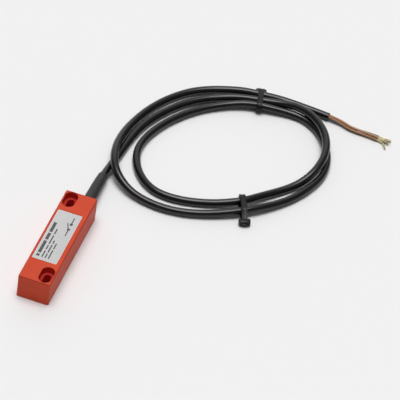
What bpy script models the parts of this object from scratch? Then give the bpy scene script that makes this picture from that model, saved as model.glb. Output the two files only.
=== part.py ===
"""A reed switch in a potted screw-down housing, with a coiled four-core lead.

Metres, +Z up. The origin is under the middle of the housing, whose long side runs along Y. The lead
leaves the +Y end. Front means the -Y side, rear the +Y side.
"""

import math

import bmesh
import bpy
import numpy as np
from mathutils import Vector

MM = 0.001

# Housing
HOUSING_WIDTH = 20.0 * MM
HOUSING_LENGTH = 82.0 * MM
HOUSING_HEIGHT = 16.2 * MM
CORNER_RADIUS = 1.0 * MM
TOP_ROUND = 0.7 * MM
SIDE_WALL = 1.6 * MM
REAR_WALL = 4.0 * MM
ROOF = 1.8 * MM
BOARD_LEDGE = 1.2 * MM
CAVITY_CORNER = 0.8 * MM

# Screw slots, which run along Y in two opposite corners
SLOT_WIDTH = 4.4 * MM
SLOT_TRAVEL = 5.5 * MM
SLOT_WALL = 1.3 * MM
SLOT_SIDE_MARGIN = 1.0 * MM
SLOT_END_MARGIN = 0.9 * MM
COUNTERBORE_WIDTH = 8.0 * MM
COUNTERBORE_DEPTH = 4.4 * MM
COUNTERBORE_WALL = 0.8 * MM
COUNTERBORE_FLOOR = 1.65 * MM

# Label, in a shallow recess with a groove round it
LABEL_WIDTH = 15.4 * MM
LABEL_LENGTH = 45.3 * MM
LABEL_THICKNESS = 0.22 * MM
LABEL_CORNER = 1.0 * MM
LABEL_OFFSET_X = -0.7 * MM
LABEL_OFFSET_Y = -0.2 * MM
LABEL_RECESS = 0.3 * MM
LABEL_GROOVE = 0.25 * MM
LABEL_BED = 0.05 * MM

# Potting resin in the open base
RESIN_RECESS = 0.2 * MM
RESIN_DEPTH = 3.2 * MM
FIT = 0.1 * MM

# Circuit board, held up under the ledges of the side walls
BOARD_THICKNESS = 1.0 * MM
BOARD_SEAT = 0.15 * MM
BOARD_SIDE_GAP = 0.3 * MM
BOARD_END_GAP = 3.8 * MM
LEAD_HOLE_DIAMETER = 0.9 * MM

# Reed capsules
CAPSULE_SPACING = 7.0 * MM
CAPSULE_LIFT = 0.2 * MM
GLASS_DIAMETER = 2.3 * MM
GLASS_LENGTH = 14.0 * MM
GLASS_WALL = 0.3 * MM
GLASS_DOME = 1.4 * MM
GLASS_SEAL = 1.0 * MM
GLASS_TIP_DIAMETER = 1.1 * MM
LEAD_DIAMETER = 0.5 * MM
LEAD_SEAL_GAP = 0.05 * MM
LEAD_INSIDE = 0.05 * MM
LEAD_SPAN = 20.0 * MM
LEAD_BEND = 0.7 * MM
LEAD_STUB = 0.8 * MM
BLADE_WIDTH = 1.0 * MM
BLADE_THICKNESS = 0.2 * MM
BLADE_OVERLAP = 1.0 * MM
CONTACT_GAP = 0.36 * MM
BLADE_ROOT_GAP = 0.3 * MM

# Cable
CABLE_X = 2.6 * MM
CABLE_HEIGHT = 6.2 * MM
CABLE_DIAMETER = 5.0 * MM
CABLE_FLOOR_GAP = 0.05 * MM
CABLE_POINTS = 80
CABLE_BEVEL_STEPS = 3
CORE_DIAMETER = 1.5 * MM
CORE_SPREAD = 1.13 * MM
CORE_TWIST_EASE = 0.6
CORE_POINTS = 14
CORE_BEVEL_STEPS = 2
CORE_END_GAP = 0.3 * MM
STRAND_DIAMETER = 0.9 * MM
STRAND_POINTS = 6

# Inner cores and their soldered ends under the board
INNER_CORE_DIAMETER = 1.3 * MM
INNER_CORE_GAP = 0.5 * MM
INNER_CORE_STEPS = 8
PAD_SPACING = 3.0 * MM
PAD_MARGIN = 8.0 * MM
INNER_CORE_END = 2.5 * MM
SOLDER_RADIUS = 1.0 * MM
SOLDER_HEIGHT = 1.3 * MM
CONDUCTOR_DIAMETER = 0.7 * MM

# Strain relief
BOOT_ROOT_DIAMETER = 7.7 * MM
BOOT_TIP_DIAMETER = 5.9 * MM
BOOT_LENGTH = 33.0 * MM
BOOT_BORE_GAP = 0.2 * MM
BOOT_TIP_ROUND = 0.2 * MM
BOOT_SOCKET_DEPTH = 2.4 * MM
BOOT_STATIONS = 12
BOOT_SAMPLES = 2000

# Cable ties
TIE_WIDTH = 3.6 * MM
TIE_THICKNESS = 1.1 * MM
TIE_SLACK = 0.3 * MM
TIE_REACH = 14.0 * MM
TIE_FLOOR_GAP = 0.15 * MM
TIE_HEAD_WIDTH = 7.2 * MM
TIE_HEAD_DEPTH = 3.6 * MM
TIE_HEAD_HEIGHT = 4.2 * MM
TIE_HEAD_CHAMFER = 0.9 * MM
TIE_HEAD_TAPER = 0.2
TIE_TAIL = 0.6 * MM
TIE_TAIL_INSET = 0.1 * MM
TIE_SKEW = 0.5 * MM

# How round pieces are divided, and how far a cutter runs past what it cuts
ROUND_STEPS = 14
PIPE_SIDES = 10
WIRE_SIDES = 8
SOLDER_SIDES = 12
GLASS_SIDES = 16
CORNER_STEPS = 4
CURVE_SAMPLES = 60
OVERCUT = 1.0 * MM
SHARP_ANGLE = math.radians(35)

REAR = HOUSING_LENGTH / 2
COUNTERBORE_BOTTOM = HOUSING_HEIGHT - COUNTERBORE_DEPTH
STEP_HEIGHT = COUNTERBORE_BOTTOM - COUNTERBORE_FLOOR
SLOT_X = HOUSING_WIDTH / 2 - SLOT_SIDE_MARGIN - COUNTERBORE_WIDTH / 2
SLOT_Y = REAR - SLOT_END_MARGIN - (COUNTERBORE_WIDTH + SLOT_TRAVEL) / 2
SLOTS = {"front": (SLOT_X, -SLOT_Y), "rear": (-SLOT_X, SLOT_Y)}
CABLE_EXIT = Vector((CABLE_X, REAR, 0.0))

BOARD_TOP = STEP_HEIGHT - BOARD_SEAT
BOARD_BOTTOM = BOARD_TOP - BOARD_THICKNESS
BOARD_LENGTH = 2 * (SLOT_Y - (COUNTERBORE_WIDTH + SLOT_TRAVEL) / 2 - COUNTERBORE_WALL - BOARD_END_GAP)
PAD_Y = BOARD_LENGTH / 2 - PAD_MARGIN
COLUMN_FRONT = SLOT_Y - (SLOT_WIDTH + SLOT_TRAVEL) / 2 - SLOT_WALL
CAPSULE_HEIGHT = BOARD_TOP + CAPSULE_LIFT + GLASS_DIAMETER / 2
CAPSULES = {"a": -CAPSULE_SPACING / 2, "b": CAPSULE_SPACING / 2}
SEAL_END = GLASS_LENGTH / 2 - GLASS_SEAL
BLADE_ROOT = SEAL_END - BLADE_ROOT_GAP

# The cable's middle line, as steps from the point under its exit on the rear face. It leaves the
# strain relief, goes round three times and ends at the jacket's cut end.
LAID = CABLE_DIAMETER / 2 + CABLE_FLOOR_GAP
TIED = CABLE_DIAMETER / 2 + TIE_SLACK + TIE_THICKNESS + TIE_FLOOR_GAP
ROUTE = (
    (0.0000, -0.0070, CABLE_HEIGHT),
    (0.0000, 0.0150, CABLE_HEIGHT - 0.0002),
    (0.0000, 0.0320, CABLE_HEIGHT - 0.0013),
    (0.0007, 0.0475, 0.0029),
    (0.0018, 0.0610, LAID),
    (0.0033, 0.0760, LAID),
    (0.0066, 0.0915, LAID),
    (0.0122, 0.1050, LAID),
    (0.0214, 0.1198, LAID),
    (0.0324, 0.1310, LAID + 0.0002),
    (0.0450, 0.1387, 0.0032),
    (0.0577, 0.1430, TIED),
    (0.0672, 0.1452, TIED),
    (0.0778, 0.1470, 0.0046),
    (0.0896, 0.1466, 0.0064),
    (0.1016, 0.1416, 0.0074),
    (0.1113, 0.1322, 0.0079),
    (0.1176, 0.1200, 0.0081),
    (0.1200, 0.1062, 0.0079),
    (0.1181, 0.0926, 0.0064),
    (0.1124, 0.0815, 0.0037),
    (0.1030, 0.0702, LAID),
    (0.0941, 0.0600, 0.0033),
    (0.0862, 0.0512, TIED),
    (0.0756, 0.0445, 0.0033),
    (0.0609, 0.0386, LAID),
    (0.0454, 0.0354, LAID),
    (0.0324, 0.0370, LAID),
    (0.0219, 0.0443, LAID),
    (0.0142, 0.0560, LAID),
    (0.0108, 0.0695, LAID),
    (0.0138, 0.0880, LAID),
    (0.0222, 0.1060, LAID),
    (0.0352, 0.1223, LAID + 0.0002),
    (0.0482, 0.1324, 0.0032),
    (0.0606, 0.1382, TIED),
    (0.0693, 0.1400, TIED),
    (0.0817, 0.1421, 0.0032),
    (0.0940, 0.1423, LAID),
    (0.1060, 0.1365, LAID),
    (0.1162, 0.1240, LAID),
    (0.1220, 0.1088, LAID),
    (0.1227, 0.0949, LAID),
    (0.1186, 0.0800, LAID + 0.0001),
    (0.1111, 0.0658, LAID),
    (0.1016, 0.0540, 0.0033),
    (0.0907, 0.0438, TIED),
    (0.0786, 0.0359, 0.0034),
    (0.0634, 0.0287, 0.0027),
    (0.0464, 0.0246, LAID),
    (0.0309, 0.0254, 0.0028),
    (0.0182, 0.0296, 0.0040),
    (0.0095, 0.0356, 0.0063),
    (0.0050, 0.0410, 0.0076),
    (0.0014, 0.0492, 0.0080),
    (-0.0011, 0.0600, 0.0070),
    (-0.0020, 0.0730, 0.0051),
    (-0.0002, 0.0905, 0.0030),
    (0.0054, 0.1085, LAID),
    (0.0149, 0.1253, LAID),
    (0.0279, 0.1384, LAID + 0.0002),
    (0.0420, 0.1457, 0.0032),
    (0.0558, 0.1494, TIED),
    (0.0659, 0.1507, TIED),
    (0.0777, 0.1526, 0.0032),
    (0.0894, 0.1530, LAID),
    (0.1014, 0.1520, LAID),
    (0.1110, 0.1510, LAID),
)

# The middle line of the four cores past the jacket, in steps from the same point
CORE_ROUTE = (
    (0.1113, 0.1510, 0.0025),
    (0.1149, 0.1505, 0.0023),
    (0.1187, 0.1501, 0.0020),
    (0.1260, 0.1477, 0.0019),
    (0.1329, 0.1469, 0.0019),
    (0.1396, 0.1465, 0.0019),
    (0.1451, 0.1459, 0.0019),
)

# Each core's angle round that line at its two ends, and where its stripped end points
CORES = {
    "brown": (130, 200, (0.1518, 0.1394, 0.0006)),
    "tan": (40, 110, (0.1534, 0.1456, 0.0026)),
    "blue": (220, 290, (0.1526, 0.1443, 0.0010)),
    "black": (310, 380, (0.1534, 0.1479, 0.0010)),
}
CORE_COLOURS = {
    "brown": (0.28, 0.11, 0.05),
    "tan": (0.34, 0.16, 0.08),
    "blue": (0.03, 0.07, 0.16),
    "black": (0.02, 0.02, 0.02),
}

# Each tie's middle, the level direction across the strands towards its head, and how far off the
# last strand its head stands
TIES = {
    "upper": (Vector((0.0663, 0.1454, 0.0)), Vector((-0.22, 0.975, 0.0)), 0.2 * MM),
    "lower": (Vector((0.0865, 0.0459, 0.0)), Vector((0.40, -0.917, 0.0)), 4.4 * MM),
}


def clear_scene():
    """Removes every object that the file opened with."""
    for thing in list(bpy.data.objects):
        bpy.data.objects.remove(thing)


def finish(name, colour, roughness, metallic=0.0, transmission=0.0):
    """A Principled material, its colour in linear values."""
    made = bpy.data.materials.new(name)
    made.use_nodes = True
    shader = made.node_tree.nodes["Principled BSDF"]
    shader.inputs["Base Color"].default_value = (*colour, 1.0)
    shader.inputs["Roughness"].default_value = roughness
    shader.inputs["Metallic"].default_value = metallic
    shader.inputs["Transmission Weight"].default_value = transmission
    return made


def mesh_object(name, vertices, faces, material=None):
    """An object of these faces, turned to face outwards and shaded smooth round its curves."""
    mesh = bpy.data.meshes.new(name)
    mesh.from_pydata([tuple(vertex) for vertex in vertices], [], faces)
    form = bmesh.new()
    form.from_mesh(mesh)
    bmesh.ops.recalc_face_normals(form, faces=form.faces)
    form.to_mesh(mesh)
    form.free()
    mesh.shade_smooth()
    mesh.set_sharp_from_angle(angle=SHARP_ANGLE)
    if material:
        mesh.materials.append(material)
    made = bpy.data.objects.new(name, mesh)
    bpy.context.scene.collection.objects.link(made)
    return made


def loft(name, rings, material=None, hollow=False):
    """Skins a row of like rings. It is capped at both ends or, if hollow, joined end to end."""
    count = len(rings[0])
    vertices = [point for ring in rings for point in ring]
    faces = []
    for row in range(len(rings) if hollow else len(rings) - 1):
        here = row * count
        there = (row + 1) % len(rings) * count
        for k in range(count):
            after = (k + 1) % count
            faces.append((here + k, here + after, there + after, there + k))
    if not hollow:
        faces.append(tuple(range(count)))
        faces.append(tuple(range(len(vertices) - count, len(vertices))))
    return mesh_object(name, vertices, faces, material)


def arc(centre, radius, start, end, steps):
    """Points of an arc between two angles in degrees, both ends included."""
    turn = [math.radians(start + (end - start) * k / steps) for k in range(steps + 1)]
    return [(centre[0] + radius * math.cos(a), centre[1] + radius * math.sin(a)) for a in turn]


def stadium(width, length, centre):
    """The outline of a slot along Y: two half circles and two straight sides."""
    x, y = centre
    reach = (length - width) / 2
    far = arc((x, y + reach), width / 2, 0, 180, ROUND_STEPS)
    near = arc((x, y - reach), width / 2, 180, 360, ROUND_STEPS)
    return far + near


def rounded_rectangle(x_range, y_range, radius):
    """A rectangle's outline with its corners rounded."""
    low_x, high_x = x_range[0] + radius, x_range[1] - radius
    low_y, high_y = y_range[0] + radius, y_range[1] - radius
    corners = ((high_x, high_y, 0), (low_x, high_y, 90), (low_x, low_y, 180), (high_x, low_y, 270))
    return [
        point
        for x, y, start in corners
        for point in arc((x, y), radius, start, start + 90, CORNER_STEPS)
    ]


def at_height(outline, z):
    """A flat outline as a level ring of points."""
    return [(x, y, z) for x, y in outline]


def prism(name, outline, bottom, top, material=None):
    """An outline extruded between two heights."""
    return loft(name, [at_height(outline, bottom), at_height(outline, top)], material)


def boolean(target, tool, operation):
    """Cuts or joins another shape into the target, and keeps the tool out of the model."""
    modifier = target.modifiers.new(tool.name, "BOOLEAN")
    modifier.operation = operation
    modifier.object = tool
    tool.hide_render = True
    tool.display_type = "WIRE"


def smooth_curve(points, count):
    """Evenly spaced points of the natural cubic spline through these points."""
    knots = np.array(points, float)
    chords = np.linalg.norm(np.diff(knots, axis=0), axis=1)
    along = np.concatenate([[0.0], np.cumsum(chords)])
    last = len(knots) - 1
    system = np.eye(last + 1)
    right = np.zeros_like(knots)
    for i in range(1, last):
        system[i, i - 1 : i + 2] = chords[i - 1], 2 * (chords[i - 1] + chords[i]), chords[i]
        slope_after = (knots[i + 1] - knots[i]) / chords[i]
        slope_before = (knots[i] - knots[i - 1]) / chords[i - 1]
        right[i] = 6 * (slope_after - slope_before)
    bend = np.linalg.solve(system, right)

    def read(where):
        i = np.clip(np.searchsorted(along, where) - 1, 0, last - 1)
        span = chords[i][:, None]
        before = (along[i + 1] - where)[:, None] / span
        after = 1 - before
        line = before * knots[i] + after * knots[i + 1]
        curve = (before**3 - before) * bend[i] + (after**3 - after) * bend[i + 1]
        return line + curve * span**2 / 6

    fine_count = CURVE_SAMPLES * last
    fine_where = np.linspace(0, along[-1], fine_count)
    steps = np.linalg.norm(np.diff(read(fine_where), axis=0), axis=1)
    lengths = np.concatenate([[0.0], np.cumsum(steps)])
    even = np.interp(np.linspace(0, lengths[-1], count), lengths, fine_where)
    return [Vector(point) for point in read(even)]


def directions(points):
    """The direction of travel at each point of a path."""
    last = len(points) - 1
    return [(points[min(i + 1, last)] - points[max(i - 1, 0)]).normalized() for i in range(last + 1)]


def ring(centre, direction, radius, sides, level=None):
    """A circle of points square to a direction. Its first point lies along level."""
    level = level or Vector((0, 0, 1)).cross(direction)
    first = (level - direction * level.dot(direction)).normalized()
    second = direction.cross(first)
    turn = [2 * math.pi * k / sides for k in range(sides)]
    return [centre + (first * math.cos(a) + second * math.sin(a)) * radius for a in turn]


def pipe(name, points, diameter, material=None, sides=PIPE_SIDES, level=None):
    """A round bar along a path."""
    ways = directions(points)
    rings = [ring(p, way, diameter / 2, sides, level) for p, way in zip(points, ways)]
    return loft(name, rings, material)


def cord(name, points, diameter, material, bevel_resolution):
    """A flexible cord along a path, as a bevelled curve."""
    curve = bpy.data.curves.new(name, "CURVE")
    curve.dimensions = "3D"
    curve.bevel_depth = diameter / 2
    curve.bevel_resolution = bevel_resolution
    curve.use_fill_caps = True
    curve.materials.append(material)
    spline = curve.splines.new("POLY")
    spline.points.add(len(points) - 1)
    for spot, point in zip(spline.points, points):
        spot.co = (*point, 1.0)
    made = bpy.data.objects.new(name, curve)
    bpy.context.scene.collection.objects.link(made)
    return made


def slot_columns(label, width, bottom, top):
    """Shapes that fill the column round each screw slot, out to the corner that it stands in."""
    made = []
    for end, (x, y) in SLOTS.items():
        outline = stadium(width, width + SLOT_TRAVEL, (x, y))
        made.append(prism(f"{label}_{end}_column", outline, bottom, top))
        out_x = math.copysign(HOUSING_WIDTH, x)
        out_y = math.copysign(HOUSING_LENGTH, y)
        arc_y = y + math.copysign(SLOT_TRAVEL / 2, y)
        block = [(x, arc_y), (out_x, arc_y), (out_x, out_y), (x, out_y)]
        made.append(prism(f"{label}_{end}_corner", block, bottom, top))
    return made


def cavity_outline(inset):
    """The housing's inner outline, this far inside its side walls."""
    half_width = HOUSING_WIDTH / 2 - SIDE_WALL - inset
    front = -(REAR - SIDE_WALL - inset)
    rear = REAR - REAR_WALL - inset
    return rounded_rectangle((-half_width, half_width), (front, rear), CAVITY_CORNER)


def ledged_cavity_outline():
    """The inner outline above the board's ledges, which stand in from the long walls only."""
    half_width = HOUSING_WIDTH / 2 - SIDE_WALL - BOARD_LEDGE
    return rounded_rectangle(
        (-half_width, half_width), (SIDE_WALL - REAR, REAR - REAR_WALL), CAVITY_CORNER
    )


def lower_cavity():
    """The hollow from the open base up to the ledges."""
    made = prism("lower_cavity", cavity_outline(0), -OVERCUT, STEP_HEIGHT)
    for column in slot_columns("lower", SLOT_WIDTH + 2 * SLOT_WALL, -2 * OVERCUT, HOUSING_HEIGHT):
        boolean(made, column, "DIFFERENCE")
    return made


def upper_cavity():
    """The hollow above the ledges, up to the roof."""
    top = HOUSING_HEIGHT - ROOF
    made = prism("upper_cavity", ledged_cavity_outline(), STEP_HEIGHT - OVERCUT, top)
    width = COUNTERBORE_WIDTH + 2 * COUNTERBORE_WALL
    for column in slot_columns("upper", width, STEP_HEIGHT - 2 * OVERCUT, HOUSING_HEIGHT):
        boolean(made, column, "DIFFERENCE")
    return made


def label_outline(grow):
    """The label's outline on the top face, this much larger all round."""
    half_width = LABEL_WIDTH / 2 + grow
    half_length = LABEL_LENGTH / 2 + grow
    return rounded_rectangle(
        (LABEL_OFFSET_X - half_width, LABEL_OFFSET_X + half_width),
        (LABEL_OFFSET_Y - half_length, LABEL_OFFSET_Y + half_length),
        LABEL_CORNER + grow,
    )


def along_cable_exit(name, depth, diameter):
    """A round cutter into the rear face, on the cable's line."""
    inside = Vector((CABLE_X, REAR - depth, CABLE_HEIGHT))
    outside = Vector((CABLE_X, REAR + OVERCUT, CABLE_HEIGHT))
    return pipe(name, [inside, outside], diameter, sides=2 * ROUND_STEPS)


def housing_shell():
    """The outer form: a block with rounded upright corners and a rounded top edge."""
    rings = [at_height(housing_outline(0), 0)]
    for k in range(CORNER_STEPS + 1):
        angle = math.pi / 2 * k / CORNER_STEPS
        inset = TOP_ROUND * (1 - math.cos(angle))
        height = HOUSING_HEIGHT - TOP_ROUND * (1 - math.sin(angle))
        rings.append(at_height(housing_outline(inset), height))
    return loft("housing", rings, finish("red_moulding", (0.55, 0.06, 0.03), 0.45))


def housing_outline(inset):
    """The housing's outer outline, drawn in by this much."""
    half_width = HOUSING_WIDTH / 2 - inset
    half_length = REAR - inset
    radius = CORNER_RADIUS - inset
    return rounded_rectangle((-half_width, half_width), (-half_length, half_length), radius)


def make_housing():
    """The moulding, with its screw slots, hollow inside, label recess and cable socket."""
    housing = housing_shell()
    top = HOUSING_HEIGHT + OVERCUT
    cutters = [lower_cavity(), upper_cavity()]
    for end, place in SLOTS.items():
        slot = stadium(SLOT_WIDTH, SLOT_WIDTH + SLOT_TRAVEL, place)
        counterbore = stadium(COUNTERBORE_WIDTH, COUNTERBORE_WIDTH + SLOT_TRAVEL, place)
        cutters.append(prism(f"{end}_slot", slot, -OVERCUT, top))
        cutters.append(prism(f"{end}_counterbore", counterbore, COUNTERBORE_BOTTOM, top))
    recess_floor = HOUSING_HEIGHT - LABEL_RECESS
    cutters.append(prism("label_recess", label_outline(LABEL_GROOVE), recess_floor, top))
    cutters.append(along_cable_exit("boot_socket", BOOT_SOCKET_DEPTH, BOOT_ROOT_DIAMETER + 2 * FIT))
    cable_hole = CABLE_DIAMETER + 2 * BOOT_BORE_GAP
    cutters.append(along_cable_exit("cable_hole", REAR_WALL + OVERCUT, cable_hole))
    for cutter in cutters:
        boolean(housing, cutter, "DIFFERENCE")


def make_label():
    """The thin label plate that lies in its recess."""
    bottom = HOUSING_HEIGHT - LABEL_RECESS + LABEL_BED
    material = finish("label_film", (0.6, 0.62, 0.64), 0.4)
    prism("label", label_outline(0), bottom, bottom + LABEL_THICKNESS, material)


def make_resin():
    """The resin that closes the open base, poured round the slot columns."""
    material = finish("dark_resin", (0.03, 0.03, 0.035), 0.35)
    top = RESIN_RECESS + RESIN_DEPTH
    resin = prism("potting_resin", cavity_outline(FIT), RESIN_RECESS, top, material)
    width = SLOT_WIDTH + 2 * SLOT_WALL + 2 * FIT
    for column in slot_columns("resin", width, RESIN_RECESS - OVERCUT, top + OVERCUT):
        boolean(resin, column, "DIFFERENCE")


def make_board():
    """The circuit board, with a hole for each lead of the capsules."""
    half_width = HOUSING_WIDTH / 2 - SIDE_WALL - BOARD_SIDE_GAP
    outline = rounded_rectangle(
        (-half_width, half_width), (-BOARD_LENGTH / 2, BOARD_LENGTH / 2), CAVITY_CORNER
    )
    material = finish("board_laminate", (0.03, 0.18, 0.07), 0.5)
    board = prism("circuit_board", outline, BOARD_BOTTOM, BOARD_TOP, material)
    for capsule, x in CAPSULES.items():
        for side in (-1, 1):
            y = side * LEAD_SPAN / 2
            ends = [Vector((x, y, BOARD_BOTTOM - OVERCUT)), Vector((x, y, BOARD_TOP + OVERCUT))]
            name = f"lead_hole_{capsule}_{side}"
            hole = pipe(name, ends, LEAD_HOLE_DIAMETER, level=Vector((1, 0, 0)))
            boolean(board, hole, "DIFFERENCE")


def glass_profile():
    """Pairs of distance along the capsule and radius: outside front to rear, then inside back."""
    outside = []
    flat = GLASS_LENGTH / 2 - GLASS_DOME
    for k in range(CORNER_STEPS + 1):
        angle = math.pi / 2 * k / CORNER_STEPS
        rise = (GLASS_DIAMETER - GLASS_TIP_DIAMETER) / 2 * (1 - math.cos(angle))
        outside.append((flat + GLASS_DOME * math.sin(angle), GLASS_DIAMETER / 2 - rise))
    bore = LEAD_DIAMETER / 2 + LEAD_SEAL_GAP
    inside = [(GLASS_LENGTH / 2, bore), (SEAL_END, bore)]
    inside.append((SEAL_END - GLASS_SEAL / 2, GLASS_DIAMETER / 2 - GLASS_WALL))
    half = outside + inside
    return half + [(-y, radius) for y, radius in reversed(half)]


def make_glass(capsule, x):
    """A capsule's glass tube, drawn in at both ends onto its leads."""
    rings = [
        ring(Vector((x, y, CAPSULE_HEIGHT)), Vector((0, 1, 0)), radius, GLASS_SIDES)
        for y, radius in glass_profile()
    ]
    material = finish(f"capsule_glass_{capsule}", (0.75, 0.85, 0.8), 0.05, transmission=0.9)
    loft(f"reed_glass_{capsule}", rings, material, hollow=True)


def make_lead(capsule, x, side, end):
    """A wire lead out of the glass, bent down through the board."""
    reach = LEAD_SPAN / 2 - LEAD_BEND
    bend = arc((reach, CAPSULE_HEIGHT - LEAD_BEND), LEAD_BEND, 90, 0, CORNER_STEPS)
    flat = [(SEAL_END - LEAD_INSIDE, CAPSULE_HEIGHT)] + bend
    flat.append((LEAD_SPAN / 2, BOARD_BOTTOM - LEAD_STUB))
    points = [Vector((x, side * y, z)) for y, z in flat]
    material = finish(f"lead_wire_{capsule}_{end}", (0.6, 0.58, 0.5), 0.3, 1.0)
    name = f"reed_lead_{capsule}_{end}"
    pipe(name, points, LEAD_DIAMETER, material, WIRE_SIDES, Vector((1, 0, 0)))


def make_blade(capsule, x, side, end):
    """A flat contact blade. Its origin is at its root, on the line that it bends about."""
    length = BLADE_ROOT + BLADE_OVERLAP / 2
    half_width = BLADE_WIDTH / 2
    outline = [(-half_width, 0), (half_width, 0), (half_width, length), (-half_width, length)]
    half = BLADE_THICKNESS / 2
    material = finish(f"blade_metal_{capsule}_{end}", (0.7, 0.66, 0.5), 0.25, 1.0)
    blade = prism(f"reed_blade_{capsule}_{end}", outline, -half, half, material)
    height = CAPSULE_HEIGHT + side * (CONTACT_GAP + BLADE_THICKNESS) / 2
    blade.location = (x, side * BLADE_ROOT, height)
    blade.rotation_euler.z = math.pi if side > 0 else 0.0


def make_capsules():
    """Both reed capsules, each a glass tube with two leads and two blades."""
    for capsule, x in CAPSULES.items():
        make_glass(capsule, x)
        for side, end in ((-1, "front"), (1, "rear")):
            make_lead(capsule, x, side, end)
            make_blade(capsule, x, side, end)


def make_inner_core(colour, start_offset, pad_x):
    """A core from the cable's inner end, straight past the rear slot's column, then to its pad."""
    jacket_end = REAR + ROUTE[0][1]
    start_x = CABLE_X + start_offset[0]
    start = Vector((start_x, jacket_end - CORE_END_GAP, CABLE_HEIGHT + start_offset[1]))
    end = Vector((pad_x, PAD_Y + INNER_CORE_END, BOARD_BOTTOM - FIT - INNER_CORE_DIAMETER / 2))
    points = []
    for k in range(INNER_CORE_STEPS + 1):
        y = start.y + (end.y - start.y) * k / INNER_CORE_STEPS
        share = max(0.0, (COLUMN_FRONT - y) / (COLUMN_FRONT - end.y))
        point = start.lerp(end, share * share * (3 - 2 * share))
        point.y = y
        points.append(point)
    material = finish(f"inner_{colour}_insulation", CORE_COLOURS[colour], 0.5)
    pipe(f"inner_core_{colour}", points, INNER_CORE_DIAMETER, material, WIRE_SIDES)
    make_soldered_end(colour, pad_x, end)


def make_soldered_end(colour, pad_x, core_end):
    """The bare conductor past a core's end, in its cone of solder on the board's underside."""
    top = BOARD_BOTTOM - FIT
    material = finish(f"solder_{colour}", (0.55, 0.55, 0.56), 0.35, 1.0)
    down = Vector((0, 0, -1))
    level = Vector((1, 0, 0))
    rings = []
    for k in range(CORNER_STEPS):
        angle = math.pi / 2 * k / CORNER_STEPS
        centre = Vector((pad_x, PAD_Y, top - SOLDER_HEIGHT * math.sin(angle)))
        rings.append(ring(centre, down, SOLDER_RADIUS * math.cos(angle), SOLDER_SIDES, level))
    solder = loft(f"soldered_end_{colour}", rings, material)
    tip = Vector((pad_x, core_end.y - CORE_END_GAP, core_end.z))
    wire = pipe(f"conductor_{colour}", [tip, Vector((pad_x, PAD_Y, core_end.z))], CONDUCTOR_DIAMETER)
    boolean(solder, wire, "UNION")


def make_inner_cores():
    """The four cores inside the housing, from the bundle in the cable to their pads."""
    offset = (INNER_CORE_DIAMETER + INNER_CORE_GAP) / 2
    starts = {
        "brown": (-offset, offset),
        "tan": (-offset, -offset),
        "blue": (offset, -offset),
        "black": (offset, offset),
    }
    for k, (colour, start_offset) in enumerate(starts.items()):
        make_inner_core(colour, start_offset, (k - 1.5) * PAD_SPACING)


def cable_path(count):
    """Points of the cable's middle line, in the part's frame."""
    return [CABLE_EXIT + point for point in smooth_curve(ROUTE, count)]


def make_cable():
    """The cable jacket, from inside the housing to its cut end."""
    material = finish("black_jacket", (0.012, 0.012, 0.013), 0.45)
    cord("cable_jacket", cable_path(CABLE_POINTS), CABLE_DIAMETER, material, CABLE_BEVEL_STEPS)


def boot_points():
    """Points of the cable's middle line, from inside the socket to the strain relief's tip."""
    start = REAR - BOOT_SOCKET_DEPTH + FIT
    covered = []
    for point in cable_path(BOOT_SAMPLES):
        if point.y > REAR + BOOT_LENGTH:
            break
        if point.y >= start:
            covered.append(point)
    last = len(covered) - 1
    return [covered[round(k * last / BOOT_STATIONS)] for k in range(BOOT_STATIONS + 1)]


def make_boot():
    """The strain relief: a tapered sleeve that follows the cable out of its socket."""
    points = boot_points()
    outer, inner = [], []
    for k, (point, way) in enumerate(zip(points, directions(points))):
        share = max(0.0, (point.y - REAR) / BOOT_LENGTH)
        radius = (BOOT_ROOT_DIAMETER + (BOOT_TIP_DIAMETER - BOOT_ROOT_DIAMETER) * share) / 2
        if k == BOOT_STATIONS:
            radius -= BOOT_TIP_ROUND
        outer.append(ring(point, way, radius, 2 * ROUND_STEPS))
        inner.append(ring(point, way, CABLE_DIAMETER / 2 + BOOT_BORE_GAP, 2 * ROUND_STEPS))
    material = finish("grey_elastomer", (0.06, 0.06, 0.065), 0.6)
    loft("cable_boot", outer + inner[::-1], material, hollow=True)


def core_path(start_angle, end_angle):
    """A core's middle line: the bundle's line, with the core laid round it."""
    middle = [CABLE_EXIT + point for point in smooth_curve(CORE_ROUTE, CORE_POINTS)]
    points = []
    for k, (point, way) in enumerate(zip(middle, directions(middle))):
        turned = (k / (CORE_POINTS - 1)) ** CORE_TWIST_EASE
        angle = math.radians(start_angle + (end_angle - start_angle) * turned)
        side = Vector((0, 0, 1)).cross(way).normalized()
        up = way.cross(side)
        points.append(point + (side * math.cos(angle) + up * math.sin(angle)) * CORE_SPREAD)
    return points


def make_core(colour, start_angle, end_angle, tip):
    """A core past the jacket, and its stripped end."""
    points = core_path(start_angle, end_angle)
    insulation = finish(f"{colour}_insulation", CORE_COLOURS[colour], 0.4)
    cord(f"core_{colour}", points, CORE_DIAMETER, insulation, CORE_BEVEL_STEPS)
    way = directions(points)[-1]
    start = points[-1] + way * CORE_END_GAP
    target = CABLE_EXIT + Vector(tip)
    lead_out = start + way * (target - start).length / 3
    metal = finish(f"{colour}_strands", (0.6, 0.5, 0.22), 0.35, 1.0)
    line = smooth_curve((start, lead_out, target), STRAND_POINTS)
    cord(f"strands_{colour}", line, STRAND_DIAMETER, metal, CORE_BEVEL_STEPS)


def strands_through(middle, across):
    """Where the cable crosses a tie's upright plane, as distance along it and height."""
    along = Vector((-across.y, across.x, 0.0))
    found = []
    path = [point - middle for point in cable_path(CABLE_POINTS)]
    for before, after in zip(path, path[1:]):
        low, high = before.dot(along), after.dot(along)
        if low * high > 0:
            continue
        point = before.lerp(after, low / (low - high))
        if abs(point.dot(across)) < TIE_REACH:
            found.append((point.dot(across), point.z))
    return sorted(found)


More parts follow.
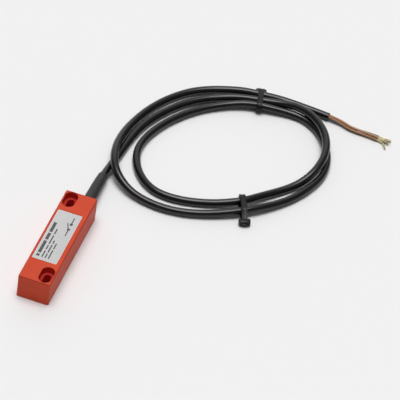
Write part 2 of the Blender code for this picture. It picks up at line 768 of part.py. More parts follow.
def belt(circles, grow, steps):
    """The tight outline round circles of place, height and radius, drawn out by this much."""
    outline = []
    for k in range(steps):
        angle = 2 * math.pi * k / steps
        way = Vector((math.cos(angle), math.sin(angle)))
        reach = [way.x * x + way.y * z + radius for x, z, radius in circles]
        x, z, radius = circles[reach.index(max(reach))]
        outline.append((x + way.x * (radius + grow), z + way.y * (radius + grow)))
    return outline


def tie_ring(outline, y):
    """A belt's outline in the tie's upright plane, at this distance to its side."""
    return [(x, y, z) for x, z in outline]


def tie_head(name, x, bottom):
    """The tie's head, a chamfered block with the strap's cut tail on its outer face."""
    half_width = TIE_HEAD_WIDTH / 2
    half_depth = TIE_HEAD_DEPTH / 2
    top = bottom + TIE_HEAD_HEIGHT
    cut = TIE_HEAD_CHAMFER
    block = [
        (x - half_depth, bottom),
        (x + half_depth - cut, bottom),
        (x + half_depth, bottom + cut),
        (x + half_depth, top - cut),
        (x + half_depth - cut, top),
        (x - half_depth + cut, top),
        (x - half_depth, top - cut),
    ]
    middle = Vector((x, bottom + TIE_HEAD_HEIGHT / 2))
    inner = [Vector(corner).lerp(middle, TIE_HEAD_TAPER) for corner in block]
    rings = [tie_ring(inner, -half_width), tie_ring(block, cut - half_width)]
    rings += [tie_ring(block, half_width - cut), tie_ring(inner, half_width)]
    return loft(f"{name}_head", rings)


def tie_tail(name, x, bottom):
    """The short end of the strap that is left past the head."""
    end = x + TIE_HEAD_DEPTH / 2 + TIE_TAIL
    middle = bottom + TIE_HEAD_HEIGHT / 2
    low, high = middle - TIE_THICKNESS / 2, middle + TIE_THICKNESS / 2
    outline = [(x, low), (end, low), (end, high), (x, high)]
    half_width = TIE_WIDTH / 2 - TIE_TAIL_INSET
    return loft(f"{name}_tail", [tie_ring(outline, -half_width), tie_ring(outline, half_width)])


def make_tie(label, middle, across, head_slack):
    """A strap round the strands, its head on the outer side and its cut tail."""
    name = f"cable_tie_{label}"
    across = across.normalized()
    strands = strands_through(CABLE_EXIT + middle, across)
    radius = CABLE_DIAMETER / 2 + TIE_SLACK
    circles = [(x, z, radius) for x, z in strands]
    circles[0] = (strands[0][0] - TIE_SKEW, strands[0][1], radius)
    circles[-1] = (strands[-1][0] + TIE_SKEW, strands[-1][1], radius)
    head_bottom = min(z for _, z in strands) - radius - TIE_THICKNESS
    head_x = strands[-1][0] + CABLE_DIAMETER / 2 + head_slack + TIE_HEAD_DEPTH / 2
    circles.append((head_x - TIE_THICKNESS, head_bottom + TIE_HEAD_HEIGHT / 2, TIE_THICKNESS / 2))
    steps = 4 * ROUND_STEPS
    inside, outside = belt(circles, 0, steps), belt(circles, TIE_THICKNESS, steps)
    half = TIE_WIDTH / 2
    rings = [tie_ring(inside, -half), tie_ring(outside, -half)]
    rings += [tie_ring(outside, half), tie_ring(inside, half)]
    tie = loft(name, rings, finish(f"{label}_tie_nylon", (0.015, 0.015, 0.016), 0.5), hollow=True)
    head = tie_head(name, head_x, head_bottom)
    tail = tie_tail(name, head_x, head_bottom)
    for shape in (tie, head, tail):
        shape.location = CABLE_EXIT + middle
        shape.rotation_euler.z = math.atan2(across.y, across.x)
    boolean(tie, head, "UNION")
    boolean(tie, tail, "UNION")


def main():
    clear_scene()
    make_housing()
    make_label()
    make_resin()
    make_board()
    make_capsules()
    make_inner_cores()
    make_cable()
    make_boot()
    for colour, (start_angle, end_angle, tip) in CORES.items():
        make_core(colour, start_angle, end_angle, tip)
    for label, (middle, across, head_slack) in TIES.items():
        make_tie(label, middle, across, head_slack)


main()
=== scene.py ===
"""The finish of the reed switch: moulded red housing, printed label, cable coil, ties and bare cores."""

import math

import bmesh
import bpy
import numpy as np
from mathutils import Matrix, Vector


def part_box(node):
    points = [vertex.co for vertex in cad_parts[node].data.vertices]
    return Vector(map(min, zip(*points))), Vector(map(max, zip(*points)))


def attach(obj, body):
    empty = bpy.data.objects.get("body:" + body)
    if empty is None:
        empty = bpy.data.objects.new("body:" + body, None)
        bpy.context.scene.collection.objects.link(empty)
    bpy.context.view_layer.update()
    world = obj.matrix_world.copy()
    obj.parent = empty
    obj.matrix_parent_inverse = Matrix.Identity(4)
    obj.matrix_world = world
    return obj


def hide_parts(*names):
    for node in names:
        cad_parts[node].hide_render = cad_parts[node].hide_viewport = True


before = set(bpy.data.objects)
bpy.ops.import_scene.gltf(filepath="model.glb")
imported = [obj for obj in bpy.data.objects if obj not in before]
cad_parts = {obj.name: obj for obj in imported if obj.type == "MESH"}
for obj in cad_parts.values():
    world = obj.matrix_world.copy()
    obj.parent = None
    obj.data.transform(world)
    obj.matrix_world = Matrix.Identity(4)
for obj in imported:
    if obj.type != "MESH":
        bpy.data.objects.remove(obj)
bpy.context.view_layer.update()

MM = 0.001
CLOSE = 0.01 * MM
OVER = 1.0 * MM

# Sizes that the frame's solids share
HOUSING_LOW, HOUSING_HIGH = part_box("housing")
TOP = HOUSING_HIGH.z
REAR = HOUSING_HIGH.y
CORNER_RADIUS = 1.0 * MM
TOP_ROUND = 0.7 * MM
SIDE_WALL = 1.6 * MM
REAR_WALL = 4.0 * MM
ROOF = 1.8 * MM
BOARD_LEDGE = 1.2 * MM
LEDGE_HEIGHT = 10.15 * MM
CAVITY_CORNER = 0.8 * MM

# How edges are rounded, which normals face one way, and how far the slots' columns are drawn out
MOULD_EDGE = 0.12 * MM
SHARP_EDGE = math.radians(50)
FACING = 0.99
CORNER_SEGMENTS = 8
TOP_SEGMENTS = 7
CAVITY_SEGMENTS = 5
EDGE_SEGMENTS = 3
PAST_X = 30 * MM
PAST_Y = 60 * MM

# The two counterbored slots and the columns round them
SLOT_WIDTH = 4.4 * MM
SLOT_TRAVEL = 5.5 * MM
SLOT_COLUMN = 7.0 * MM
COUNTERBORE_WIDTH = 8.0 * MM
COUNTERBORE_COLUMN = 9.6 * MM
COUNTERBORE_DEPTH = 4.4 * MM
# How far past the counterbores and below the top the painted shade inside them reaches
SLOT_SHADE_MARGIN = 0.1 * MM
SLOTS = ((5.0 * MM, -33.35 * MM), (-5.0 * MM, 33.35 * MM))

# The gate mark on the front face, then the socket and the hole in the rear face
GATE_RADIUS = 0.75 * MM
GATE_DEPTH = 0.2 * MM
GATE_X = 2.0 * MM
GATE_HEIGHT = 3.6 * MM
BOOT_SOCKET_RADIUS = 3.95 * MM
BOOT_SOCKET_DEPTH = 2.4 * MM
CABLE_HOLE_RADIUS = 2.7 * MM
CABLE_HOLE_DEPTH = 5.0 * MM

LABEL_LOW, LABEL_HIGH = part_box("label")
LABEL_GROOVE = 0.25 * MM
LABEL_RECESS = 0.3 * MM
LABEL_CORNER = 1.4 * MM
LABEL_EDGE = 0.06 * MM

# The label's print, in its own millimetres: across from its left edge, along from its front edge.
# Each row has its middle, its height and the lengths of its bars.
PRINT_MARGIN = 2.5
PRINT_GAP = 1.1
PRINT_ROWS = (
    (2.6, 1.9, (2.0, 11.0, 6.0, 9.0)),
    (5.4, 0.8, (6.0, 4.0, 8.0, 5.0)),
    (7.4, 0.8, (4.0, 7.0, 3.0)),
    (9.4, 0.8, (8.0, 5.0)),
)
SYMBOL_MIDDLE = 11.6
SYMBOL_START = 25.0
SYMBOL_END = 42.0
SYMBOL_LINE = 0.7
SYMBOL_DOT = 2.5
SYMBOL_DOT_LENGTH = 4
SYMBOL_SLOPE = 0.42
RIM_WIDTH = 0.3
RIM_SHARE = 0.75
RIM_COLOUR = (0.74, 0.73, 0.72)
INK_COLOUR = (0.014, 0.014, 0.015)

# Surfaces count as slanting when their normal's height lies this near this value, and take this share of
# a painted shade
SLANT_MIDDLE = 0.55
SLANT_REACH = 0.4
EDGE_SHADE_SHARE = 0.65

# The range that a noise texture's values are read from, and how far the gloss of a finish wanders
NOISE_RANGE = (0.3, 0.7)
FLOW_RANGE = (0.35, 0.65)
GLOSS_SPREAD = 0.12
INSULATION_GLOSS_SPREAD = 0.1

# The cable and its cores
CABLE_EXIT = Vector((2.6 * MM, REAR, 0.0))
CABLE_HEIGHT = 6.2 * MM
CABLE_RADIUS = 2.5 * MM
JACKET_WALL = 0.5 * MM
MOUTH_DEPTH = 1.2 * MM
CORE_RADIUS = 0.75 * MM
CORE_SPREAD = 1.13 * MM
CORE_FLARE = 0.15 * MM
CORE_FLARE_POWER = 4
CORE_TWIST_EASE = 0.6
CORE_START = 1.0 * MM
CORE_TIP = 0.08 * MM
CORE_EDGE = 0.1 * MM
STRAND_RADIUS = 0.45 * MM

# The jacket's cut end: its lip, the lip's shoulder and edges, and a ring in the mouth's floor
JACKET_LIP = 0.18 * MM
JACKET_SHOULDER = 0.06 * MM
JACKET_EDGE = 0.05 * MM
MOUTH_FLOOR = 0.5

# The wires of a stripped end, one in the middle and the rest twisted round it
WIRES_ROUND = 6
WIRE_RADIUS = 0.17 * MM
WIRE_AWAY = 0.33 * MM
WIRE_SPLAY = 0.35
WIRE_TWIST = 200
WIRE_START = 0.5 * MM

# The strain relief's sleeve. Its last steps round its tip: millimetres along it and off its radius
BOOT_ROOT_RADIUS = 3.85 * MM
BOOT_TIP_RADIUS = 3.05 * MM
BOOT_BORE = 2.7 * MM
BOOT_INSIDE = 2.3 * MM
BOOT_OUTSIDE = 34.1 * MM
BOOT_TIP_STEPS = ((-0.1, 0.03), (0.1, 0.1), (0.22, 0.22))
BOOT_BORE_STEP = 0.1

# How many sides or points the round pieces have, and the fine steps between two points of a route
CURVE_STEPS = 60
ROUND_SIDES = 96
GATE_SIDES = 48
CABLE_SIDES = 32
CORE_SIDES = 20
WIRE_SIDES = 10
BOOT_SIDES = 48
STRAP_STEPS = 160
CABLE_POINTS = 600
BOOT_POINTS = 80
CORE_POINTS = 60
WIRE_POINTS = 22

TIE_WIDTH = 3.6 * MM
TIE_THICKNESS = 1.1 * MM
TIE_SLACK = 0.3 * MM
TIE_REACH = 14.0 * MM
TIE_SKEW = 0.5 * MM
TIE_HEAD = Vector((3.6, 7.2, 4.2)) * MM
TIE_TAIL = 0.6 * MM
TIE_EDGE = 0.08 * MM
TIE_SEGMENTS = 2
HEAD_ROUND = 1.05 * MM
WINDOW_RIM = 0.35 * MM
WINDOW_SLOPE = 0.1 * MM
WINDOW_DEPTH = 0.45 * MM
TAIL_INSET = 0.1 * MM
TAIL_ROUND = 0.2 * MM

# Across the strap, from its side: the chamfer, the rail and the slope down to the groove
STRAP_CHAMFER = 0.15 * MM
STRAP_CHAMFER_DROP = 0.2 * MM
STRAP_RAIL = 0.45 * MM
STRAP_SLOPE = 0.2 * MM
STRAP_GROOVE = 0.25 * MM

# The cable's middle line, as steps from the point under its exit
LAID = CABLE_RADIUS + 0.05 * MM
TIED = CABLE_RADIUS + TIE_SLACK + TIE_THICKNESS + 0.15 * MM
ROUTE = (
    (0.0000, -0.0070, CABLE_HEIGHT),
    (0.0000, 0.0150, CABLE_HEIGHT - 0.0002),
    (0.0000, 0.0320, CABLE_HEIGHT - 0.0013),
    (0.0007, 0.0475, 0.0029),
    (0.0018, 0.0610, LAID),
    (0.0033, 0.0760, LAID),
    (0.0066, 0.0915, LAID),
    (0.0122, 0.1050, LAID),
    (0.0214, 0.1198, LAID),
    (0.0324, 0.1310, LAID + 0.0002),
    (0.0450, 0.1387, 0.0032),
    (0.0577, 0.1430, TIED),
    (0.0672, 0.1452, TIED),
    (0.0778, 0.1470, 0.0046),
    (0.0896, 0.1466, 0.0064),
    (0.1016, 0.1416, 0.0074),
    (0.1113, 0.1322, 0.0079),
    (0.1176, 0.1200, 0.0081),
    (0.1200, 0.1062, 0.0079),
    (0.1181, 0.0926, 0.0064),
    (0.1124, 0.0815, 0.0037),
    (0.1030, 0.0702, LAID),
    (0.0941, 0.0600, 0.0033),
    (0.0862, 0.0512, TIED),
    (0.0756, 0.0445, 0.0033),
    (0.0609, 0.0386, LAID),
    (0.0454, 0.0354, LAID),
    (0.0324, 0.0370, LAID),
    (0.0219, 0.0443, LAID),
    (0.0142, 0.0560, LAID),
    (0.0108, 0.0695, LAID),
    (0.0138, 0.0880, LAID),
    (0.0222, 0.1060, LAID),
    (0.0352, 0.1223, LAID + 0.0002),
    (0.0482, 0.1324, 0.0032),
    (0.0606, 0.1382, TIED),
    (0.0693, 0.1400, TIED),
    (0.0817, 0.1421, 0.0032),
    (0.0940, 0.1423, LAID),
    (0.1060, 0.1365, LAID),
    (0.1162, 0.1240, LAID),
    (0.1220, 0.1088, LAID),
    (0.1227, 0.0949, LAID),
    (0.1186, 0.0800, LAID + 0.0001),
    (0.1111, 0.0658, LAID),
    (0.1016, 0.0540, 0.0033),
    (0.0907, 0.0438, TIED),
    (0.0786, 0.0359, 0.0034),
    (0.0634, 0.0287, 0.0027),
    (0.0464, 0.0246, LAID),
    (0.0309, 0.0254, 0.0028),
    (0.0182, 0.0296, 0.0040),
    (0.0095, 0.0356, 0.0063),
    (0.0050, 0.0410, 0.0076),
    (0.0014, 0.0492, 0.0080),
    (-0.0011, 0.0600, 0.0070),
    (-0.0020, 0.0730, 0.0051),
    (-0.0002, 0.0905, 0.0030),
    (0.0054, 0.1085, LAID),
    (0.0149, 0.1253, LAID),
    (0.0279, 0.1384, LAID + 0.0002),
    (0.0420, 0.1457, 0.0032),
    (0.0558, 0.1494, TIED),
    (0.0659, 0.1507, TIED),
    (0.0777, 0.1526, 0.0032),
    (0.0894, 0.1530, LAID),
    (0.1014, 0.1520, LAID),
    (0.1110, 0.1510, LAID),
)

# The middle line of the four cores past the jacket, in steps from the same point
CORE_ROUTE = (
    (0.1113, 0.1510, 0.0025),
    (0.1149, 0.1505, 0.0023),
    (0.1187, 0.1501, 0.0020),
    (0.1260, 0.1477, 0.0019),
    (0.1329, 0.1469, 0.0019),
    (0.1396, 0.1465, 0.0019),
    (0.1451, 0.1459, 0.0019),
)

# Each core's angle round that line at its two ends, and where its stripped end points
CORES = {
    "brown": (130, 200, (0.1518, 0.1394, 0.0006)),
    "tan": (40, 110, (0.1534, 0.1456, 0.0026)),
    "blue": (220, 290, (0.1526, 0.1443, 0.0010)),
    "black": (310, 380, (0.1534, 0.1479, 0.0010)),
}

# Each tie's middle, the level direction across the strands towards its head, and its head's slack
TIES = {
    "upper": (Vector((0.0663, 0.1454, 0.0)), Vector((-0.22, 0.975, 0.0)), 0.2 * MM),
    "lower": (Vector((0.0865, 0.0459, 0.0)), Vector((0.40, -0.917, 0.0)), 4.4 * MM),
}

# The photograph's point of view
CAMERA_AZIMUTH = 12.13
CAMERA_ELEVATION = 42.14
CAMERA_ROLL = 9.185
CAMERA_AIM = Vector((70.65, 47.27, 34.67)) * MM
CAMERA_DISTANCE = 1.7544
CAMERA_LENS = 265.56

# Studio light: each bright patch's direction, full and outer angle from its middle, and strength
ROOM_STRENGTH = 0.18
PATCHES = {
    "ceiling": (Vector((-0.05, 0.04, 1.0)), 8, 25, 7.7),
    "back": (Vector((-0.35, 0.90, 0.55)), 18, 40, 0.8),
}
FLOOR_SIZE = 12.0
FLOOR_DROP = 0.02 * MM


def add_camera():
    """A long lens from the photograph's viewing angle."""
    camera = bpy.data.cameras.new("camera")
    camera.sensor_width = 36.0
    camera.lens = CAMERA_LENS
    camera.clip_start = 0.05
    camera.clip_end = 20.0
    made = bpy.data.objects.new("camera", camera)
    bpy.context.scene.collection.objects.link(made)
    around = Matrix.Rotation(math.radians(CAMERA_AZIMUTH), 4, "Z")
    tilt = Matrix.Rotation(math.radians(90 - CAMERA_ELEVATION), 4, "X")
    roll = Matrix.Rotation(math.radians(CAMERA_ROLL), 4, "Z")
    away = Matrix.Translation((0, 0, CAMERA_DISTANCE))
    made.matrix_world = Matrix.Translation(CAMERA_AIM) @ around @ tilt @ roll @ away
    bpy.context.scene.camera = made


def smooth_curve(points, count):
    """Evenly spaced points of the natural cubic spline through these points."""
    knots = np.array(points, float)
    chords = np.linalg.norm(np.diff(knots, axis=0), axis=1)
    along = np.concatenate([[0.0], np.cumsum(chords)])
    last = len(knots) - 1
    system = np.eye(last + 1)
    right = np.zeros_like(knots)
    for i in range(1, last):
        system[i, i - 1 : i + 2] = chords[i - 1], 2 * (chords[i - 1] + chords[i]), chords[i]
        slope_after = (knots[i + 1] - knots[i]) / chords[i]
        slope_before = (knots[i] - knots[i - 1]) / chords[i - 1]
        right[i] = 6 * (slope_after - slope_before)
    bend = np.linalg.solve(system, right)

    def read(where):
        """Points of the curve at these distances along its chords."""
        i = np.clip(np.searchsorted(along, where) - 1, 0, last - 1)
        span = chords[i][:, None]
        before = (along[i + 1] - where)[:, None] / span
        after = 1 - before
        line = before * knots[i] + after * knots[i + 1]
        curve = (before**3 - before) * bend[i] + (after**3 - after) * bend[i + 1]
        return line + curve * span**2 / 6

    fine_where = np.linspace(0, along[-1], CURVE_STEPS * last)
    steps = np.linalg.norm(np.diff(read(fine_where), axis=0), axis=1)
    lengths = np.concatenate([[0.0], np.cumsum(steps)])
    even = np.interp(np.linspace(0, lengths[-1], count), lengths, fine_where)
    return [CABLE_EXIT + Vector(point) for point in read(even)]


def outward(way, angle):
    """The direction at this angle round a path, counted from its level side."""
    side = Vector((0, 0, 1)).cross(way).normalized()
    up = way.cross(side)
    return side * math.cos(angle) + up * math.sin(angle)


def directions(points):
    """The direction of travel at each point of a path."""
    last = len(points) - 1
    return [(points[min(i + 1, last)] - points[max(i - 1, 0)]).normalized() for i in range(last + 1)]


def tube(name, sections, sides):
    """A round skin through sections of centre, direction and radius. Its lay attribute follows it."""
    vertices, lay = [], []
    travelled = 0.0
    before = sections[0][0]
    for centre, way, radius in sections:
        travelled += (centre - before).length
        before = centre
        for k in range(sides):
            angle = 2 * math.pi * k / sides
            vertices.append(centre + outward(way, angle) * radius)
            lay.append((math.cos(angle), math.sin(angle), travelled / CABLE_RADIUS))
    faces = []
    for row in range(len(sections) - 1):
        here, there = row * sides, (row + 1) * sides
        for k in range(sides):
            after = (k + 1) % sides
            faces.append((here + k, here + after, there + after, there + k))
    faces.append(tuple(reversed(range(sides))))
    faces.append(tuple(range(len(vertices) - sides, len(vertices))))
    mesh = bpy.data.meshes.new(name)
    mesh.from_pydata([tuple(v) for v in vertices], [], faces)
    attribute = mesh.attributes.new("lay", "FLOAT_VECTOR", "POINT")
    attribute.data.foreach_set("vector", np.array(lay, np.float32).ravel())
    made = bpy.data.objects.new(name, mesh)
    bpy.context.scene.collection.objects.link(made)
    return made


def recalculate(piece):
    """Turns all faces of a closed piece outwards."""
    form = bmesh.new()
    form.from_mesh(piece.data)
    bmesh.ops.recalc_face_normals(form, faces=form.faces)
    form.to_mesh(piece.data)
    form.free()


def pick(piece):
    """Selects one object only and makes it active."""
    if bpy.context.mode != "OBJECT":
        bpy.ops.object.mode_set(mode="OBJECT")
    bpy.ops.object.select_all(action="DESELECT")
    piece.select_set(True)
    bpy.context.view_layer.objects.active = piece


def apply_all(piece):
    """Applies the modifiers, in order."""
    pick(piece)
    for modifier in list(piece.modifiers):
        bpy.ops.object.modifier_apply(modifier=modifier.name)


def smooth(piece, degrees=35):
    """Smooth shading, with sharp edges past this angle."""
    pick(piece)
    bpy.ops.object.shade_smooth_by_angle(angle=math.radians(degrees))


def dress(piece, material, nodes=(), body="root"):
    """Gives a finished piece its material and body, and hides the nodes that it stands for."""
    piece.data.materials.clear()
    piece.data.materials.append(material)
    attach(piece, body)
    if nodes:
        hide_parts(*nodes)
    return piece


def shader_tree(name):
    """A new material's node tree and its main shader."""
    material = bpy.data.materials.new(name)
    material.use_nodes = True
    tree = material.node_tree
    return material, tree, tree.nodes["Principled BSDF"]


def calc(tree, operation, a, b=None, c=None):
    """The output of a Math node fed by numbers or by other outputs."""
    node = tree.nodes.new("ShaderNodeMath")
    node.operation = operation
    for socket, value in zip(node.inputs, (a, b, c)):
        if value is None:
            continue
        if isinstance(value, bpy.types.NodeSocket):
            tree.links.new(value, socket)
        else:
            socket.default_value = value
    return node.outputs[0]


def object_place(tree):
    """Where a point is in its object's own coordinates."""
    return tree.nodes.new("ShaderNodeTexCoord").outputs["Object"]


def lay_place(tree, stretch):
    """Where a point is on a cord, round it and along it, with the length drawn out by stretch."""
    attribute = tree.nodes.new("ShaderNodeAttribute")
    attribute.attribute_name = "lay"
    mapping = tree.nodes.new("ShaderNodeMapping")
    mapping.inputs["Scale"].default_value = (1.0, 1.0, stretch)
    tree.links.new(attribute.outputs["Vector"], mapping.inputs["Vector"])
    return mapping.outputs["Vector"]


def noise(tree, place, scale, detail=3.0, rough=0.55):
    """A noise texture's value at a place."""
    node = tree.nodes.new("ShaderNodeTexNoise")
    node.inputs["Scale"].default_value = scale
    node.inputs["Detail"].default_value = detail
    node.inputs["Roughness"].default_value = rough
    tree.links.new(place, node.inputs["Vector"])
    return node.outputs["Fac"]


def spread(tree, value, low, high, to_low, to_high):
    """A value read from one range into another, held at its ends."""
    node = tree.nodes.new("ShaderNodeMapRange")
    for name, number in (("From Min", low), ("From Max", high), ("To Min", to_low), ("To Max", to_high)):
        node.inputs[name].default_value = number
    tree.links.new(value, node.inputs["Value"])
    return node.outputs["Result"]


def from_noise(tree, value, to_low=0.0, to_high=1.0):
    """A noise value read from its usual range into another."""
    return spread(tree, value, *NOISE_RANGE, to_low, to_high)


def blend_colours(tree, share, first, second):
    """A colour between two colours, each a tuple or an output."""
    node = tree.nodes.new("ShaderNodeMix")
    node.data_type = "RGBA"
    tree.links.new(share, node.inputs["Factor"])
    colour_inputs = [i for i in node.inputs if i.type == "RGBA"]
    for socket, value in zip(colour_inputs, (first, second)):
        if isinstance(value, bpy.types.NodeSocket):
            tree.links.new(value, socket)
        else:
            socket.default_value = (*value, 1.0)
    return [o for o in node.outputs if o.type == "RGBA"][0]


def bump(tree, shader, height, depth):
    """Raises the surface by a value, up to this depth."""
    node = tree.nodes.new("ShaderNodeBump")
    node.inputs["Strength"].default_value = 1.0
    node.inputs["Distance"].default_value = depth
    tree.links.new(height, node.inputs["Height"])
    tree.links.new(node.outputs["Normal"], shader.inputs["Normal"])


def box_mask(tree, axes, x_range, y_range):
    """1 inside an upright rectangle across two axes, 0 outside."""
    x, y = axes
    masks = [
        calc(tree, "GREATER_THAN", x, x_range[0]),
        calc(tree, "LESS_THAN", x, x_range[1]),
        calc(tree, "GREATER_THAN", y, y_range[0]),
        calc(tree, "LESS_THAN", y, y_range[1]),
    ]
    total = masks[0]
    for mask in masks[1:]:
        total = calc(tree, "MULTIPLY", total, mask)
    return total


def highest(tree, masks):
    """The highest of some masks, so 1 wherever one of them is."""
    total = masks[0]
    for mask in masks[1:]:
        total = calc(tree, "MAXIMUM", total, mask)
    return total


def slanting(tree):
    """1 where a surface neither lies flat nor stands upright, as on the rounded upper edges, where a
    darker red is painted as their shade.
    """
    parts = tree.nodes.new("ShaderNodeSeparateXYZ")
    tree.links.new(tree.nodes.new("ShaderNodeNewGeometry").outputs["True Normal"], parts.inputs[0])
    from_middle = calc(tree, "ABSOLUTE", calc(tree, "SUBTRACT", parts.outputs["Z"], SLANT_MIDDLE))
    return calc(tree, "LESS_THAN", from_middle, SLANT_REACH)


def slot_shade_mask(tree, place):
    """1 inside the counterbores and slots, where a darker red is painted as their shade."""
    parts = tree.nodes.new("ShaderNodeSeparateXYZ")
    tree.links.new(place, parts.inputs[0])
    axes = (parts.outputs["X"], parts.outputs["Y"])
    half = COUNTERBORE_WIDTH / 2 + SLOT_SHADE_MARGIN
    reach = half + SLOT_TRAVEL / 2
    below = calc(tree, "LESS_THAN", parts.outputs["Z"], TOP - SLOT_SHADE_MARGIN)
    boxes = [box_mask(tree, axes, (x - half, x + half), (y - reach, y + reach)) for x, y in SLOTS]
    return calc(tree, "MULTIPLY", below, highest(tree, boxes))


def moulded_red():
    """Satin red plastic with a fine spark-eroded texture and faint flow marks, and a painted shade on the
    rounded upper edges and inside the slots.
    """
    material, tree, shader = shader_tree("moulded_red")
    place = object_place(tree)
    grain = noise(tree, place, scale=2600.0, detail=2.0)
    flow = spread(tree, noise(tree, place, scale=60.0, detail=4.0), *FLOW_RANGE, 0.0, 1.0)
    flat = blend_colours(tree, flow, (0.545, 0.043, 0.007), (0.60, 0.052, 0.009))
    # Painted shade: a darker red inside the counterbores and slots
    painted_recess_shade = blend_colours(tree, flow, (0.44, 0.009, 0.003), (0.50, 0.014, 0.005))
    # Painted shade: a darker red on the slanting faces of the rounded edges
    painted_edge_shade = calc(tree, "MULTIPLY", slanting(tree), EDGE_SHADE_SHARE)
    edged = blend_colours(tree, painted_edge_shade, flat, (0.30, 0.010, 0.004))
    colour = blend_colours(tree, slot_shade_mask(tree, place), edged, painted_recess_shade)
    tree.links.new(colour, shader.inputs["Base Color"])
    tree.links.new(from_noise(tree, grain, 0.52, 0.64), shader.inputs["Roughness"])
    shader.inputs["Specular IOR Level"].default_value = 0.34
    bump(tree, shader, grain, depth=0.012 * MM)
    return material


def black_jacket():
    """Black cable jacket: faint drawn lines along it, and a soft satin."""
    material, tree, shader = shader_tree("black_jacket")
    lines = noise(tree, lay_place(tree, stretch=0.03), scale=7.0)
    patches = from_noise(tree, noise(tree, object_place(tree), scale=140.0))
    colour = blend_colours(tree, patches, (0.002, 0.002, 0.002), (0.0035, 0.0035, 0.0035))
    tree.links.new(colour, shader.inputs["Base Color"])
    tree.links.new(from_noise(tree, lines, 0.20, 0.30), shader.inputs["Roughness"])
    bump(tree, shader, lines, depth=0.015 * MM)
    return material


def grey_elastomer():
    """The strain relief's matt grey, a little cloudy."""
    material, tree, shader = shader_tree("grey_elastomer")
    place = object_place(tree)
    cloud = from_noise(tree, noise(tree, place, scale=180.0))
    grain = noise(tree, place, scale=3000.0, detail=2.0)
    colour = blend_colours(tree, cloud, (0.028, 0.028, 0.029), (0.036, 0.036, 0.037))
    tree.links.new(colour, shader.inputs["Base Color"])
    tree.links.new(from_noise(tree, grain, 0.42, 0.54), shader.inputs["Roughness"])
    shader.inputs["Specular IOR Level"].default_value = 0.28
    bump(tree, shader, grain, depth=0.012 * MM)
    return material


def insulation(name, dark, light, rough):
    """Extruded insulation: one colour with faint streaks along the core."""
    material, tree, shader = shader_tree(name)
    streaks = noise(tree, lay_place(tree, stretch=0.1), scale=3.0)
    colour = blend_colours(tree, from_noise(tree, streaks), dark, light)
    tree.links.new(colour, shader.inputs["Base Color"])
    gloss = from_noise(tree, streaks, rough, rough + INSULATION_GLOSS_SPREAD)
    tree.links.new(gloss, shader.inputs["Roughness"])
    bump(tree, shader, streaks, depth=0.02 * MM)
    return material


def speckled(name, dark, light, scale, rough, metallic=0.0, specular=0.5, depth=0.01 * MM):
    """A surface whose colour and gloss wander at one scale."""
    material, tree, shader = shader_tree(name)
    cloud = noise(tree, object_place(tree), scale, detail=4.0)
    colour = blend_colours(tree, from_noise(tree, cloud), dark, light)
    tree.links.new(colour, shader.inputs["Base Color"])
    tree.links.new(from_noise(tree, cloud, rough, rough + GLOSS_SPREAD), shader.inputs["Roughness"])
    shader.inputs["Metallic"].default_value = metallic
    shader.inputs["Specular IOR Level"].default_value = specular
    bump(tree, shader, cloud, depth)
    return material


def clear_glass():
    """The capsules' faintly green glass."""
    material, tree, shader = shader_tree("capsule_glass")
    shader.inputs["Transmission Weight"].default_value = 1.0
    shader.inputs["IOR"].default_value = 1.5
    tint = noise(tree, object_place(tree), scale=400.0, detail=2.0)
    colour = blend_colours(tree, tint, (0.78, 0.88, 0.83), (0.84, 0.93, 0.88))
    tree.links.new(colour, shader.inputs["Base Color"])
    tree.links.new(from_noise(tree, tint, 0.03, 0.08), shader.inputs["Roughness"])
    return material


def printed_bars(tree, axes, middle, height, lengths):
    """One row of plain solid bars, one after another along the label."""
    masks = []
    start = PRINT_MARGIN
    for length in lengths:
        across = (middle - height / 2, middle + height / 2)
        masks.append(box_mask(tree, axes, across, (start, start + length)))
        start += length + PRINT_GAP
    return highest(tree, masks)


def contact_symbol(tree, axes):
    """The usual sign for a contact: two wires with a dot each, and an open blade between them."""
    x, y = axes
    middle, start, end = SYMBOL_MIDDLE, SYMBOL_START, SYMBOL_END
    half = SYMBOL_LINE / 2
    third = (end - start) / 3
    near, far = start + third, end - third
    line = (middle - half, middle + half)
    dot = (middle - SYMBOL_DOT * half, middle + SYMBOL_DOT * half)
    rise = calc(tree, "MULTIPLY", calc(tree, "SUBTRACT", y, near), SYMBOL_SLOPE)
    from_blade = calc(tree, "ABSOLUTE", calc(tree, "ADD", calc(tree, "SUBTRACT", x, middle), rise))
    blade = calc(tree, "LESS_THAN", from_blade, half)
    open_part = box_mask(tree, axes, (middle - third, middle + third), (near, far))
    masks = [
        box_mask(tree, axes, line, (start, near)),
        box_mask(tree, axes, line, (far, end)),
        box_mask(tree, axes, dot, (near - half, near + SYMBOL_DOT_LENGTH * half)),
        box_mask(tree, axes, dot, (far - SYMBOL_DOT_LENGTH * half, far + half)),
        calc(tree, "MULTIPLY", blade, open_part),
    ]
    return highest(tree, masks)


def rim_mask(tree, axes, width):
    """1 in a thin band along the label's edge."""
    size = (LABEL_HIGH - LABEL_LOW) / MM
    inner = box_mask(tree, axes, (width, size.x - width), (width, size.y - width))
    return calc(tree, "SUBTRACT", 1.0, inner)


